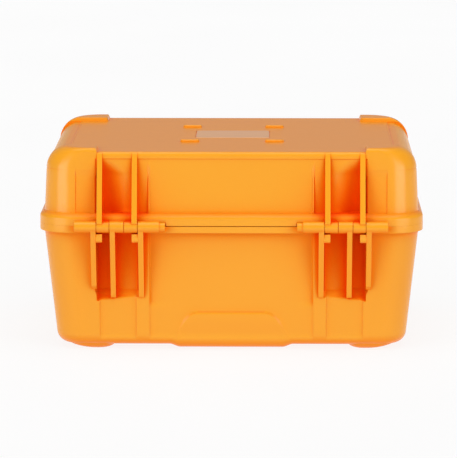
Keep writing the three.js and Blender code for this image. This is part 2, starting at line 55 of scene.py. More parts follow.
# ---------- sizes as in the CAD part ----------
WALL = 4.2
RIM = (250.0, 195.0, 44.0)  # half width, half depth, corner radius
RIM_UNDER = 158.0
LID_RIM_TOP, LID_WALL_FOOT, LID_TOP = 176.0, 183.5, 263.0
TONGUE_TOP, SEAL_GROOVE_TOP = 171.3, 175.0
PAD_RISE = 5.0
BASE_FOOT = (228.0, 172.0, 34.0)
BASE_DRAFT, BASE_CORNER_DRAFT = 16 / 150, 4 / 150
LID_FACE = (243.8, 188.3, 38.0)
LID_DRAFT = 0.045
FLOOR_ROUND, SIDE_ROUND, LONG_ROUND = 14.0, 28.0, 5.0
HINGE_OUT, HINGE_Z, HINGE_R = 200.5, 167.05, 7.5
PIN_BORE, SWEEP, COLLAR_R = 2.5, 8.2, 6.2
COLLARS = ((85.4, 94.0),)  # the slimmer inner ends of the base knuckles
LID_RIBS = ((121.6, 128.6), (166.8, 173.8))
BASE_BACK_RIBS = ((113.4, 120.4), (150.0, 157.0), (175.0, 182.0))
STOP_LUGS = ((120.0, 128.6), (166.8, 175.4))
LATCH_X, LATCH_PIN_OUT, LATCH_PIN_Z = 147.7, 201.0, 197.0
LEVER_PIN_OUT, LEVER_PIN_Z, LATCH_BORE = 201.5, 158.0, 2.3
HANDLE_X, HANDLE_OUT, HANDLE_Z, HANDLE_BORE = 72.0, 200.5, 148.0, 2.8
VALVE_Z, VALVE_HOLE = 138.0, 8.3
PADLOCK_X, PADLOCK_OUT, PADLOCK_HOLE = 98.0, 200.0, 5.5
PLATE = (49.0, 38.0, 5.0)
PLATE_SINK = 1.2
TOP_PANEL_X = 211.0

# ---------- sizes that follow the photo more closely than the CAD does ----------
FLOOR_Z = 6.2  # between the feet
PAD_DIP = 4.0  # how far the edge of the floor dips at the foot of the raised pads
RIM_TOP, LID_FOOT = 167.67, 167.73  # a finer parting line
POCKET = (108.0, 177.2)
LID_KNUCKLES = ((121.2, 138.3), (157.9, 174.1))  # wider, for finer gaps between the knuckles
BASE_KNUCKLES = ((93.0, 120.6), (139.0, 157.3), (174.8, 203.0))
OUTER_KNUCKLE_SWEEP = (174.1, 203.0)
THRUST_FACES = ((119.0, 121.1), (138.4, 140.0), (156.0, 157.8), (174.2, 176.0))
THRUST_R = 5.7
FOOT_OUT = 139.5


# ---------- small maths ----------
def smooth(x, at, width):
    """0 before `at`, 1 after it, eased over `width`."""
    t = np.clip((np.asarray(x, float) - at) / width + 0.5, 0, 1)
    return t * t * (3 - 2 * t)


def band(x, lo, hi, width):
    return smooth(x, lo, width) * (1 - smooth(x, hi, width))


def round_inset(radius, depth):
    """How far a quarter round of that radius has drawn in, `depth` past its start."""
    d = min(radius, max(0.0, depth))
    return radius - math.sqrt(radius * radius - d * d)


def through(points, z):
    """The value at height z of the line through (z, value) points."""
    heights, values = zip(*points)
    return np.interp(z, heights, values)


# ---------- meshes ----------
def new_object(name, points_mm, faces):
    """A mesh object whose faces look outwards, from points in millimetres."""
    mesh = bpy.data.meshes.new(name)
    mesh.from_pydata([tuple(p) for p in np.asarray(points_mm, float) * MM], [], faces)
    mesh.validate()
    bm = bmesh.new()
    bm.from_mesh(mesh)
    bmesh.ops.recalc_face_normals(bm, faces=bm.faces)
    if bm.calc_volume(signed=True) < 0:
        bmesh.ops.reverse_faces(bm, faces=bm.faces)
    bm.to_mesh(mesh)
    bm.free()
    obj = bpy.data.objects.new(name, mesh)
    bpy.context.scene.collection.objects.link(obj)
    return obj


def remove(obj):
    mesh = obj.data
    bpy.data.objects.remove(obj)
    bpy.data.meshes.remove(mesh)


def boolean(target, other, operation):
    """Joins `other` to `target` or cuts it away, and uses `other` up."""
    modifier = target.modifiers.new("boolean", "BOOLEAN")
    modifier.operation = operation
    modifier.solver = "MANIFOLD"
    modifier.object = other
    graph = bpy.context.evaluated_depsgraph_get()
    made = bpy.data.meshes.new_from_object(target.evaluated_get(graph))
    target.modifiers.remove(modifier)
    old = target.data
    made.name = old.name
    target.data = made
    bpy.data.meshes.remove(old)
    remove(other)
    return target


def union(solids):
    solids = list(solids)
    first = solids[0]
    for other in solids[1:]:
        boolean(first, other, "UNION")
    return first


def join(target, *solids):
    return boolean(target, union(solids), "UNION")


def cut(target, *solids):
    return boolean(target, union(solids), "DIFFERENCE")


def loops_to_solid(name, loops):
    """A closed solid skinned over rings of equally many points, capped at both ends."""
    loops = [np.asarray(loop, float) for loop in loops]
    n = len(loops[0])
    faces = []
    for k in range(len(loops) - 1):
        a, b = k * n, (k + 1) * n
        faces += [(a + i, a + (i + 1) % n, b + (i + 1) % n, b + i) for i in range(n)]
    last = (len(loops) - 1) * n
    faces += [tuple(range(n))[::-1], tuple(range(last, last + n))]
    return new_object(name, np.concatenate(loops), faces)


def soften(obj, width, angle=25):
    """Rounds the edges of a simple solid that are sharper than `angle`."""
    bm = bmesh.new()
    bm.from_mesh(obj.data)
    edges = [e for e in bm.edges if e.calc_face_angle(0) > math.radians(angle)]
    bmesh.ops.bevel(bm, geom=edges, offset=width * MM, offset_type="OFFSET", segments=3,
                    profile=0.5, affect="EDGES", clamp_overlap=True)
    bm.to_mesh(obj.data)
    bm.free()
    return obj


def rounded_rectangle(a, b, corner, z, x=0.0, y=0.0, *, steps):
    """Points round a rectangle of half sizes a and b, level at z, in the middle at (x, y)."""
    points = []
    for q, (sx, sy) in enumerate(CORNERS):
        for i in range(steps + 1):
            angle = (q + i / steps) * math.pi / 2
            points.append((x + sx * (a - corner) + corner * math.cos(angle),
                           y + sy * (b - corner) + corner * math.sin(angle), z))
    return points


def loft(sections, steps=12):
    """Skins over (z, half width, half depth, corner) sections; x and y may follow."""
    return loops_to_solid("loft", [rounded_rectangle(a, b, c, z, *place, steps=steps)
                                   for z, a, b, c, *place in sections])


def box(x0, x1, y0, y1, z0, z1, round_edges=0.0):
    loops = [[(x0, y0, z), (x1, y0, z), (x1, y1, z), (x0, y1, z)] for z in (z0, z1)]
    solid = loops_to_solid("box", loops)
    return soften(solid, round_edges) if round_edges else solid


def plate_x(side, x0, x1, corners, round_edges=0.0):
    """The solid of one side profile, given as (out, z) corners, from x0 to x1."""
    loops = [[(x, side * out, z) for out, z in corners] for x in sorted((x0, x1))]
    solid = loops_to_solid("plate", loops)
    return soften(solid, round_edges, angle=18) if round_edges else solid


def rod(axis, at0, at1, u, v, radius, round_edges=0.0, sides=48):
    """A round bar along axis 0, 1 or 2 through (u, v) in the other two, in X, Y, Z order."""
    lo, hi = sorted((at0, at1))
    stops = [(lo, radius), (hi, radius)]
    if round_edges:
        stops = []
        for k in range(4):
            turn = math.pi / 2 * k / 3
            stops.append((lo + round_edges * (1 - math.sin(turn)),
                          radius - round_edges * (1 - math.cos(turn))))
        stops = stops[::-1] + [(lo + hi - at, r) for at, r in stops]
    loops = []
    for at, r in stops:
        ring = []
        for i in range(sides):
            angle = 2 * math.pi * i / sides
            point = [u + r * math.cos(angle), v + r * math.sin(angle)]
            point.insert(axis, at)
            ring.append(point)
        loops.append(ring)
    return loops_to_solid("rod", loops)


def rod_x(side, x0, x1, out, z, radius, **more):
    return rod(0, x0, x1, side * out, z, radius, **more)


def rod_y(side, x, z, out0, out1, radius, **more):
    return rod(1, side * out0, side * out1, x, z, radius, **more)


def shade(obj):
    """Smooth shading with the sharp edges kept, and normals that follow the larger faces."""
    obj.data.shade_smooth()
    obj.data.set_sharp_from_angle(angle=math.radians(38))
    modifier = obj.modifiers.new("weighted normals", "WEIGHTED_NORMAL")
    modifier.keep_sharp = True
    modifier.weight = 80


# ---------- wall grids ----------
def spread(*stops):
    """Sample places from (start, step) pairs: each step is kept up to the next start."""
    places = []
    for (start, step), (end, _) in zip(stops, stops[1:]):
        n = max(1, round((end - start) / step))
        places += list(start + (end - start) * np.arange(n) / n)
    return places + [stops[-1][0]]


# Columns of the long walls: fixed ones as far as the pockets reach, close where a wall has a step or
# an edge, then a tail up to the corner, as shares of the stretch that is left.
HALF_X = spread((0, 8), (36, 1.7), (84, 6), (104.6, 0.55), (110, 4.5), (122.6, 0.6), (127.4, 6),
                (167.6, 0.6), (172.4, 1.5), (174.2, 0.5), (177.8, 1))
LONG_X = [-x for x in HALF_X[:0:-1]] + HALF_X
TAIL = [0.1, 0.3, 0.6, 0.8, 0.83, 0.842, 0.852, 0.862, 0.874, 0.9, 0.95]
CORNER_STEPS = 22
END_STEPS = 8


def ring(a, b, corner):
    """The columns of a wall at one height: points (x, y) and outward normals, all the way round."""
    reach, last = a - corner, LONG_X[-1]
    tail = [last + (reach - last) * f for f in TAIL]
    along = [-x for x in tail[::-1]] + LONG_X + tail
    points, normals = [], []
    for side in (FRONT, BACK):
        for x in along:
            points.append((-side * x, side * b))
            normals.append((0, side))
        for sx, sy in ((-side, side), (-side, -side)):
            first = sy == side
            for i in range(CORNER_STEPS + 1):
                turn = i / CORNER_STEPS * math.pi / 2
                c, s = math.cos(turn), math.sin(turn)
                if first:
                    c, s = s, c
                points.append((sx * (reach + corner * c), sy * (b - corner + corner * s)))
                normals.append((sx * c, sy * s))
            if first:
                for i in range(1, END_STEPS):
                    points.append((sx * a, sy * (b - corner) * (1 - 2 * i / END_STEPS)))
                    normals.append((sx, 0))
    return np.array(points), np.array(normals)


class Grid:
    """Rings of equally many columns, stacked into one closed surface."""

    def __init__(self):
        self.rows = []

    def add(self, half, z, relief=None, lift=None):
        """One more ring, pressed in by `relief` along its normals and raised by `lift`."""
        points, normals = ring(*half)
        height = np.full(len(points), float(z))
        if relief is not None:
            depth = relief(points[:, 0], height, normals)
            points = points - normals * depth[:, None]
        if lift is not None:
            height = height + lift(points[:, 0], points[:, 1])
        self.rows.append(np.column_stack([points, height]))

    def build(self, name):
        return loops_to_solid(name, self.rows)


# ---------- outlines of the two shells ----------
def base_half(z, grow=0.0, drop=0.0):
    """Half width, half depth and corner radius of the base wall at a height."""
    curl = round_inset(FLOOR_ROUND, FLOOR_Z - drop + FLOOR_ROUND - z)
    flare = (z - FLOOR_Z) * BASE_DRAFT - curl + grow
    corner = BASE_FOOT[2] + (z - FLOOR_Z) * BASE_CORNER_DRAFT - curl + grow
    return BASE_FOOT[0] + flare, BASE_FOOT[1] + flare, corner


def lid_half(z, grow=0.0, lift=0.0):
    """The same for the lid wall; its top edge is rounder along the two ends."""
    lean = (z - lift - LID_WALL_FOOT) * LID_DRAFT
    curl_x = round_inset(SIDE_ROUND, z - lift - (LID_TOP - SIDE_ROUND))
    curl_y = round_inset(LONG_ROUND, z - lift - (LID_TOP - LONG_ROUND))
    corner = LID_FACE[2] - lean - curl_y + grow
    return LID_FACE[0] - lean - curl_x + grow, LID_FACE[1] - lean - curl_y + grow, corner


def rim_half(inset):
    return tuple(r - inset for r in RIM)


# The floors of the pockets as (z, out) points at their outer side, and how far they rise from there
# towards the middle of the case.
BASE_POCKET = ((61, 183), (64, 180.5), (68, 175), (73, 169.5), (82, 165.5), (158.5, 174))
LID_POCKET = ((181, 174), (188, 172.5), (215, 173), (232, 175), (244, 181), (259, 187))
BASE_RISE, LID_RISE = 10.2, 12.0
BASE_POCKET_EDGE = 119.9  # the inner side of the sharp part of a base pocket


def base_pocket_out(x, z):
    share = np.clip((POCKET[1] - np.abs(x)) / (POCKET[1] - POCKET[0]), 0, 1)
    return through(BASE_POCKET, z) + BASE_RISE * share


def lid_pocket_out(x, z):
    return through(LID_POCKET, z) + LID_RISE * (1 - smooth(np.abs(x), 146, 38))


# The raised pad at the foot of the front and back walls: its outline from the top edge down.
PAD_TOP, PAD_HALF, PAD_SHOULDER = 50.6, 43.0, 62.0
PAD_FOOT, PAD_END = (72.0, 16.0), (78.0, 8.0)


def pad_outline():
    t = np.linspace(0, 1, 40)[:, None]
    shoulder = (1 - t) ** 2 * np.array([(PAD_HALF, PAD_TOP)])
    shoulder = shoulder + 2 * t * (1 - t) * np.array([(PAD_SHOULDER, PAD_TOP)])
    shoulder = shoulder + t ** 2 * np.array([PAD_FOOT])
    return np.concatenate([[(0.0, PAD_TOP)], [(PAD_HALF / 2, PAD_TOP)], shoulder, [PAD_END]])


OUTLINE = pad_outline()


def distance_to_outline(u, z):
    """How far (u, z) lies inside the pad's outline, negative outside it."""
    a, b = OUTLINE[:-1], OUTLINE[1:]
    ab = b - a
    p = np.stack([u, z], 1)[:, None]
    t = np.clip(((p - a) * ab).sum(2) / (ab * ab).sum(1), 0, 1)
    distance = np.linalg.norm(p - (a + t[..., None] * ab), axis=2).min(1)
    edge = np.interp(z, OUTLINE[::-1, 1], OUTLINE[::-1, 0])
    return np.where((u < edge) & (z < PAD_TOP), distance, -distance)


def on_long_wall(normals, depth):
    """`depth` on the front and back walls, nothing on the corners and ends."""
    return np.where(np.abs(normals[:, 1]) > 0.999, depth, 0)


# Lines on the base walls, as distances from the middle: the edge of the panel between the pockets,
# the sunk band under a pocket, and the thin grooves beside them.
BASE_PANEL, BASE_BAND = 105.8, (125.0, 170.5)
BASE_GROOVES, GROOVE_WIDTH, GROOVE_DEPTH = (106.6, 124.6, 170.9), 1.1, 0.6
PANEL_DEPTH = 1.9


def base_relief(x, z, normals):
    """How far the base wall lies behind its plain outline: pockets, sunk bands, the raised pad."""
    u = np.abs(x)
    half_depth = base_half(float(z[0]))[1]
    above_floor = smooth(z, 17, 7)
    in_panel = 1 - smooth(u, BASE_PANEL, 2.6)
    panels = PANEL_DEPTH * above_floor * (in_panel + band(u, *BASE_BAND, 3.6))
    panels += 2.0 * np.exp(-(105 - u) / 8) * in_panel * smooth(z, 62, 10)
    grooves = sum(np.exp(-((u - line) / GROOVE_WIDTH) ** 2) for line in BASE_GROOVES)
    panels += GROOVE_DEPTH * above_floor * grooves
    pocket = np.maximum(0, half_depth - base_pocket_out(u, z))
    outer_edge = POCKET[1] - 2.2 * (1 - smooth(z, 78, 8))  # drawn in below the end of the outer rib
    inside = band(u, BASE_POCKET_EDGE, outer_edge, 1.3) * smooth(z, 65.5, 4)
    depth = panels * (1 - inside) + np.maximum(pocket, panels) * inside
    pad = (0.7 + 1.4 * smooth(z, 30, 30)) * smooth(distance_to_outline(u, z), 0, 2.4) * smooth(z, 8, 8)
    return on_long_wall(normals, depth - pad)


# Lines on the lid walls: the edge of the panel between the pockets with a ridge beside it, the step
# to the corners with a thin groove in it, and the side of a slit next to the outer rib.
LID_PANEL, LID_RIDGE, LID_STEP, LID_GROOVE, LID_SLIT = 105.5, 107.6, 201.9, 201.6, 174.2


def lid_relief(x, z, normals):
    """How far the lid wall lies behind its plain outline: flat panels, their edges, the pockets."""
    u = np.abs(x)
    half_depth = lid_half(float(z[0]))[1]
    below_pad = 1 - smooth(z, 236, 14)
    top = np.where(u > POCKET[1] - 1, below_pad, 1 - smooth(z, 254, 1.4))
    flats = (1 - smooth(u, LID_STEP, 0.9)) * top
    flats += 0.3 * np.exp(-((u - LID_GROOVE) / 0.6) ** 2) * below_pad
    slope = np.exp(-(LID_PANEL - np.minimum(u, LID_PANEL)) / 9) * (1 - smooth(u, LID_PANEL, 1.2))
    flats += 1.2 * slope * (1 - smooth(z, 222, 24))
    flats -= 0.7 * band(u, LID_PANEL, LID_RIDGE, 1.0) * (1 - smooth(z, 246, 10))
    pocket = np.maximum(0, half_depth - lid_pocket_out(u, z) - 9 * smooth(u, LID_SLIT, 1.2))
    inside = smooth(u, POCKET[0], 1.3) * (1 - smooth(u, POCKET[1] - 1.6, 3.2))
    return on_long_wall(normals, flats * (1 - inside) + np.maximum(pocket, flats) * inside)


def backing_relief(half_of, pocket_out, low, high):
    """Inside, the wall follows the pocket at the same thickness."""
    def relief(x, z, normals):
        u = np.abs(x)
        depth = np.maximum(0, half_of(float(z[0]))[1] - (pocket_out(u, z) - WALL))
        inside = band(u, POCKET[0] - WALL, POCKET[1] + WALL - 2.6, 3) * band(z, low, high, 6)
        return on_long_wall(normals, depth * inside)
    return relief


def bulge(share):
    """The foot of the raised pad: there the edge of the floor dips."""
    return lambda x, y: -PAD_DIP * share * (1 - smooth(np.abs(x), 74, 14)) * (np.abs(y) > 120)


def base_grid():
    grid = Grid()
    # underside, from its middle outwards, the curve up to the wall, and the wall
    a, b, corner = BASE_FOOT
    for inset, share in ((44, 0), (38, 0), (32, 0.3), (27, 0.8), (22, 1), (17, 1)):
        grid.add((a - inset, b - inset, max(3.0, corner - inset)), FLOOR_Z, lift=bulge(share))
    for k in range(9):
        turn = math.pi / 2 * k / 8
        z = FLOOR_Z + FLOOR_ROUND * (1 - math.cos(turn))
        grid.add(base_half(z), z, base_relief, bulge(math.cos(turn)))
    for z in spread((23.5, 1.6), (63, 1.0), (68, 1.8), (82, 7), (152, 2), (157.2, 1)):
        grid.add(base_half(z), z, base_relief)
    # rim: underside, outer face, top face, tongue
    grid.add(base_half(RIM_UNDER, 0.5), RIM_UNDER, base_relief)
    for inset, z in ((1.2, RIM_UNDER), (0.35, RIM_UNDER + 0.3), (0, RIM_UNDER + 1.1),
                     (0, RIM_TOP - 0.1), (0.03, RIM_TOP - 0.03), (0.1, RIM_TOP),
                     (3.95, RIM_TOP), (4, RIM_TOP + 0.1), (4, 170.9), (4.35, TONGUE_TOP),
                     (6.25, TONGUE_TOP), (6.6, 170.9), (6.6, RIM_TOP + 0.1), (6.65, RIM_TOP)):
        grid.add(rim_half(inset), z)
    # inside, from the rim down to the floor
    inner = backing_relief(lambda z: base_half(min(z, RIM_UNDER), -WALL), base_pocket_out, 58, 999)
    grid.add(base_half(RIM_UNDER, -WALL + 0.5), RIM_TOP, inner)
    for z in (RIM_TOP - 0.5, RIM_UNDER, *spread((150, 12), (78, 5), (52, 8), (28, 1))):
        grid.add(base_half(min(z, RIM_UNDER), -WALL), z, inner)
    for k in range(7):
        turn = math.pi / 2 * (1 - k / 7)
        z = FLOOR_Z + WALL + FLOOR_ROUND * (1 - math.cos(turn))
        grid.add(base_half(z, -WALL, -WALL), z)
    grid.add(base_half(FLOOR_Z + WALL, -WALL, -WALL), FLOOR_Z + WALL)
    return grid.build("base_shell_moulding")


def lid_rounding(lift=0.0):
    """Heights of the rings round the lid's top edge, closer where the flat panels end and at the top."""
    below = (SIDE_ROUND, 25, 21.5, 17.5, 14, 11, 9.8, 9.3, 8.7, 8.2, 6.5, LONG_ROUND, 4.2, 3.4, 2.6,
             1.9, 1.3, 0.8, 0.4, 0.12, 0)
    return [LID_TOP + lift - b for b in below]


def lid_grid():
    grid = Grid()
    # outside, from the top down to the foot of the wall
    for inset in (20, 4):
        grid.add(tuple(r - inset for r in lid_half(LID_TOP)), LID_TOP)
    for z in lid_rounding()[::-1]:
        grid.add(lid_half(z), z, lid_relief)
    for z in spread((230, 6), (190, 2), (184.2, 1)):
        grid.add(lid_half(z), z, lid_relief)
    grid.add(lid_half(LID_WALL_FOOT, 0.4), LID_WALL_FOOT, lid_relief)
    # the flare out to the rim, the outer face of the rim, its foot with the groove of the seal
    for k in range(9):
        share = k / 8
        inset = 6.4 * (1 - math.sin(share * math.pi / 2)) ** 1.2
        grid.add(rim_half(inset), LID_WALL_FOOT - (LID_WALL_FOOT - LID_RIM_TOP) * share)
    for inset, z in ((0, LID_FOOT + 0.1), (0.03, LID_FOOT + 0.03), (0.1, LID_FOOT), (2.15, LID_FOOT),
                     (2.2, LID_FOOT + 0.1), (2.2, 174.8), (2.4, SEAL_GROOVE_TOP),
                     (8.2, SEAL_GROOVE_TOP), (8.4, 174.8), (8.4, LID_FOOT + 0.1), (8.45, LID_FOOT)):
        grid.add(rim_half(inset), z)
    # inside, from the rim up to the underside of the top
    inner = backing_relief(lambda z: lid_half(z, -WALL, -WALL), lid_pocket_out, 0, 999)
    grid.add(lid_half(LID_WALL_FOOT, -WALL + 0.4), LID_FOOT, inner)
    for z in (LID_FOOT + 0.5, 176, LID_WALL_FOOT):
        grid.add(lid_half(LID_WALL_FOOT, -WALL), z, inner)
    for z in spread((192, 12), (230, 1)) + lid_rounding(-WALL):
        grid.add(lid_half(z, -WALL, -WALL), z, inner)
    return grid.build("lid_shell_moulding")


# ---------- features joined to the shells ----------
def rib(side, x0, x1, outer, pocket_out):
    """A rib whose outer edge runs through the (out, z) points and whose root is inside the wall."""
    x = (abs(x0) + abs(x1)) / 2
    outs, zs = zip(*outer)
    root = [(min(float(pocket_out(x, z)) - 1.6, float(np.interp(z, zs, outs)) - 1.2), z)
            for z in np.linspace(zs[-1] - 0.3, zs[0] + 0.3, 7)]
    return plate_x(side, x0, x1, outer + root, 0.9)


def mirrored(ranges):
    return [(end * x0, end * x1) for x0, x1 in ranges for end in ENDS]


def knuckle(x0, x1, web_low, web_high, radius=HINGE_R):
    """A length of the hinge barrel with the web that joins it to its rim."""
    return union([rod_x(BACK, x0, x1, HINGE_OUT, HINGE_Z, radius, round_edges=0.5),
                  box(min(x0, x1) + 0.4, max(x0, x1) - 0.4, 190, HINGE_OUT, web_low, web_high)])


def sweep(x0, x1, clearance=0.9):
    """The space that a turning knuckle needs."""
    lo, hi = min(x0, x1) - clearance, max(x0, x1) + clearance
    return rod_x(BACK, lo, hi, HINGE_OUT, HINGE_Z, SWEEP)


def hinge_bores():
    return [rod_x(BACK, end * 90, end * 199, HINGE_OUT, HINGE_Z, PIN_BORE) for end in ENDS]


def padlock_tab(end, z0, z1):
    x = end * PADLOCK_X
    return union([rod(2, z0, z1, x, -(PADLOCK_OUT - 1.5), 9, round_edges=0.6),
                  box(x - 8.9, x + 8.9, -200, -190, z0 + 0.3, z1 - 0.3)])


def padlock_holes():
    return [rod(2, 150, 186, end * PADLOCK_X, -PADLOCK_OUT, PADLOCK_HOLE) for end in ENDS]


def foot(sx, sy):
    """A low dome that carries on the curve of the lower corner."""
    # height, inner and outer end along the width, half size in depth
    sections = ((0, 165, 186, 14), (0.35, 162, 190.5, 15.6), (1.2, 159, 196, 17.6),
                (2.6, 156, 202, 20), (4.6, 153.5, 207.8, 22.4), (7, 151.5, 212.5, 24.4),
                (10, 150, 215.5, 25.5))
    return loft([(z, (x1 - x0) / 2, half, half * 0.65, sx * (x0 + x1) / 2, sy * FOOT_OUT)
                 for z, x0, x1, half in sections], steps=8)


def base_ribs():
    top = [(206, 158), (206.4, 164)]
    long_rib = [(178.6, 70.5), (180.2, 71.2), (182.4, 75), (203.5, 148), *top]
    outer_rib = [(180.2, 82), (182, 82.8), (186.2, 87), *top]
    guard = [(176, 88), (182, 88.6), (202.6, 121.5), (205.9, 129.5), (206.6, 134), (206.6, 160),
             (205, 167.2)]
    ribs = [rib(BACK, *r, long_rib, base_pocket_out) for r in mirrored(BASE_BACK_RIBS[:2])]
    ribs += [rib(BACK, *r, outer_rib, base_pocket_out) for r in mirrored(BASE_BACK_RIBS[2:])]
    return ribs + [rib(FRONT, *r, guard, base_pocket_out) for r in mirrored(LID_RIBS)]


def handle_lugs():
    lug = [(203, 157.9), (206.8, 154), (206.8, 140), (201, 131), (184, 122), (181, 122), (184, 157.9)]
    ranges = ((HANDLE_X - 12, HANDLE_X - 5.6), (HANDLE_X + 5.6, HANDLE_X + 12))
    return [plate_x(FRONT, *r, lug, 0.8) for r in mirrored(ranges)]


def latch_beads():
    """The beads under the rim that the latch levers hook behind."""
    bead = [(193.1, 159), (193.4, 156.6), (194.2, 156.3), (194.9, 157), (194.9, 159)]
    return [plate_x(FRONT, *r, bead) for r in mirrored([(LATCH_X - 14, LATCH_X + 14)])]


def base_knuckles():
    web_top = RIM_TOP - 0.05
    made = [knuckle(*r, HINGE_Z - HINGE_R + 0.1, web_top) for r in mirrored(BASE_KNUCKLES)]
    made += [knuckle(*r, HINGE_Z - COLLAR_R + 0.1, web_top, COLLAR_R) for r in mirrored(COLLARS)]
    return made + [rod_x(BACK, *r, HINGE_OUT, HINGE_Z, THRUST_R) for r in mirrored(THRUST_FACES)]


def base_moulding():
    shell = base_grid()
    cut(shell, *[sweep(*r) for r in mirrored(LID_KNUCKLES)],
        box(-COLLARS[0][0], COLLARS[0][0], 191.5, 200, RIM_TOP - 0.9, RIM_TOP + 1))
    lug = [(190, 158.3), (186, 147), (202.6, 147), (204.5, 149), (204.5, 158.3)]
    stop_lugs = [plate_x(BACK, *r, lug, 0.6) for r in mirrored(STOP_LUGS)]
    tabs = [padlock_tab(end, RIM_UNDER, RIM_TOP - 0.05) for end in ENDS]
    valve_seat = rod_y(FRONT, 0, VALVE_Z, 180.5, 186.9, 15, round_edges=0.8)
    join(shell, *base_ribs(), *stop_lugs, *handle_lugs(), *latch_beads(), *base_knuckles(), *tabs,
         *[foot(sx, sy) for sx, sy in CORNERS], valve_seat)
    handle_bores = [rod_x(FRONT, x0, x1, HANDLE_OUT, HANDLE_Z, HANDLE_BORE)
                    for x0, x1 in mirrored([(HANDLE_X - 14, HANDLE_X + 14)])]
    valve_bore = rod_y(FRONT, 0, VALVE_Z, 170, 190, VALVE_HOLE)
    return cut(shell, *hinge_bores(), *handle_bores, *padlock_holes(), valve_bore)


def corner_pads():
    """The raised corners of the lid top: the lid's own rounding, lifted, kept near the corners."""
    lifted = Grid()
    for z in lid_rounding(PAD_RISE):
        lifted.add(lid_half(z, -0.3, PAD_RISE), z)
    raised = lifted.build("raised")
    outline = ((236.2, 46, 30, 6), (LID_TOP, 46, 30, 6), (LID_TOP + 2.6, 45, 29, 5.4),
               (LID_TOP + 3.8, 44.4, 28.5, 5), (LID_TOP + 4.6, 43.8, 28, 4.6),
               (LID_TOP + 5.2, 42.8, 27.2, 4))
    prisms = [loft([(*section, sx * 220, sy * 171) for section in outline], steps=6)
              for sx, sy in CORNERS]
    pads = boolean(raised, union(prisms), "INTERSECT")
    slots = [box(*sorted((sx * 172, sx * POCKET[1])), *sorted((sy * 160, sy * 200)), 230, 257.6)
             for sx, sy in CORNERS]
    return cut(pads, *slots)


def bump(sx, sy):
    outline = ((LID_TOP - 1, 13, 4, 3.9), (LID_TOP + 1.2, 12.7, 3.6, 3.5),
               (LID_TOP + 2.1, 12.2, 3.1, 3.0), (LID_TOP + 2.7, 11.4, 2.4, 2.3),
               (LID_TOP + 3, 10.4, 1.5, 1.4))
    return loft([(*section, sx * 56, sy * 77) for section in outline], steps=6)


def lid_ribs():
    crest = [(192, 236), (187.2, 253.5), (185.8, 259), (184.9, 261), (183, 262.4)]
    back_rib = [(206, 170), (207.4, 172.5), (206.5, 180), (202, 197), *crest]
    front_rib = [(200.5, LID_FOOT + 0.1), (206.5, 186), (206.5, 202), (204, 208), *crest]
    ribs = [rib(BACK, *r, back_rib, lid_pocket_out) for r in mirrored(LID_RIBS)]
    return ribs + [rib(FRONT, *r, front_rib, lid_pocket_out) for r in mirrored(LID_RIBS)]


def lid_moulding():
    shell = lid_grid()
    cut(shell, *[sweep(*r) for r in mirrored((*BASE_KNUCKLES[:2], *COLLARS))],
        *[sweep(*r, 0.2) for r in mirrored((OUTER_KNUCKLE_SWEEP,))])
    foot_top, knuckle_top = LID_FOOT + 0.05, HINGE_Z + HINGE_R - 0.1
    knuckles = [knuckle(*r, foot_top, knuckle_top) for r in mirrored(LID_KNUCKLES)]
    tabs = [padlock_tab(end, foot_top, LID_RIM_TOP) for end in ENDS]
    bumps = [bump(sx, sy) for sx, sy in CORNERS]
    # beyond the flat panel the top is a little lower, and a soft bead marks the step
    steps = [box(end * TOP_PANEL_X, end * 250, -200, 200, LID_TOP - 0.8, LID_TOP + 1) for end in ENDS]
    cut(shell, *steps)
    beads = [box(end * TOP_PANEL_X - 0.8, end * TOP_PANEL_X + 0.8, -139, 139,
                 LID_TOP - 1.5, LID_TOP + 0.45, 0.4) for end in ENDS]
    join(shell, *lid_ribs(), *knuckles, *tabs, *bumps, *beads, corner_pads())
    seat = loft([(z, *(r + 0.8 for r in PLATE)) for z in (LID_TOP - PLATE_SINK, LID_TOP + 1)])
    latch_bores = [rod_x(FRONT, end * 118, end * 178, LATCH_PIN_OUT, LATCH_PIN_Z, LATCH_BORE)
                   for end in ENDS]
    return cut(shell, seat, *hinge_bores(), *latch_bores, *padlock_holes())


# ---------- small pieces ----------
def ring_solid(profile):
    """A closed ring that follows the rim: `profile` is a loop of (inset from the rim, z)."""
    loops = [rounded_rectangle(*rim_half(inset), z, steps=24) for inset, z in profile]
    n, m = len(loops[0]), len(loops)
    faces = [(k * n + i, k * n + (i + 1) % n, (k + 1) % m * n + (i + 1) % n, (k + 1) % m * n + i)
             for k in range(m) for i in range(n)]
    return new_object("ring", np.concatenate(loops), faces)


def latch_range(end, half):
    return end * LATCH_X - half, end * LATCH_X + half


def latch_link(end):
    profile = [(196.2, 201), (198.2, 203), (203, 203), (205.4, 200.8), (207, 197.5), (207.2, 158),
               (205.3, 154.2), (201.5, 152.6), (197.8, 154.2), (196.2, 158)]
    body = plate_x(FRONT, *latch_range(end, 18), profile, 0.8)
    slot = box(*latch_range(end, 12.6), -210, -190, 140, 166, 0.5)
    dish = box(*latch_range(end, 13), -212, -206.1, 171, 193, 1.0)
    lid_bore = rod_x(FRONT, *latch_range(end, 19), LATCH_PIN_OUT, LATCH_PIN_Z, LATCH_BORE)
    lever_bore = rod_x(FRONT, *latch_range(end, 19), LEVER_PIN_OUT, LEVER_PIN_Z, LATCH_BORE)
    return cut(body, slot, dish, lid_bore, lever_bore)


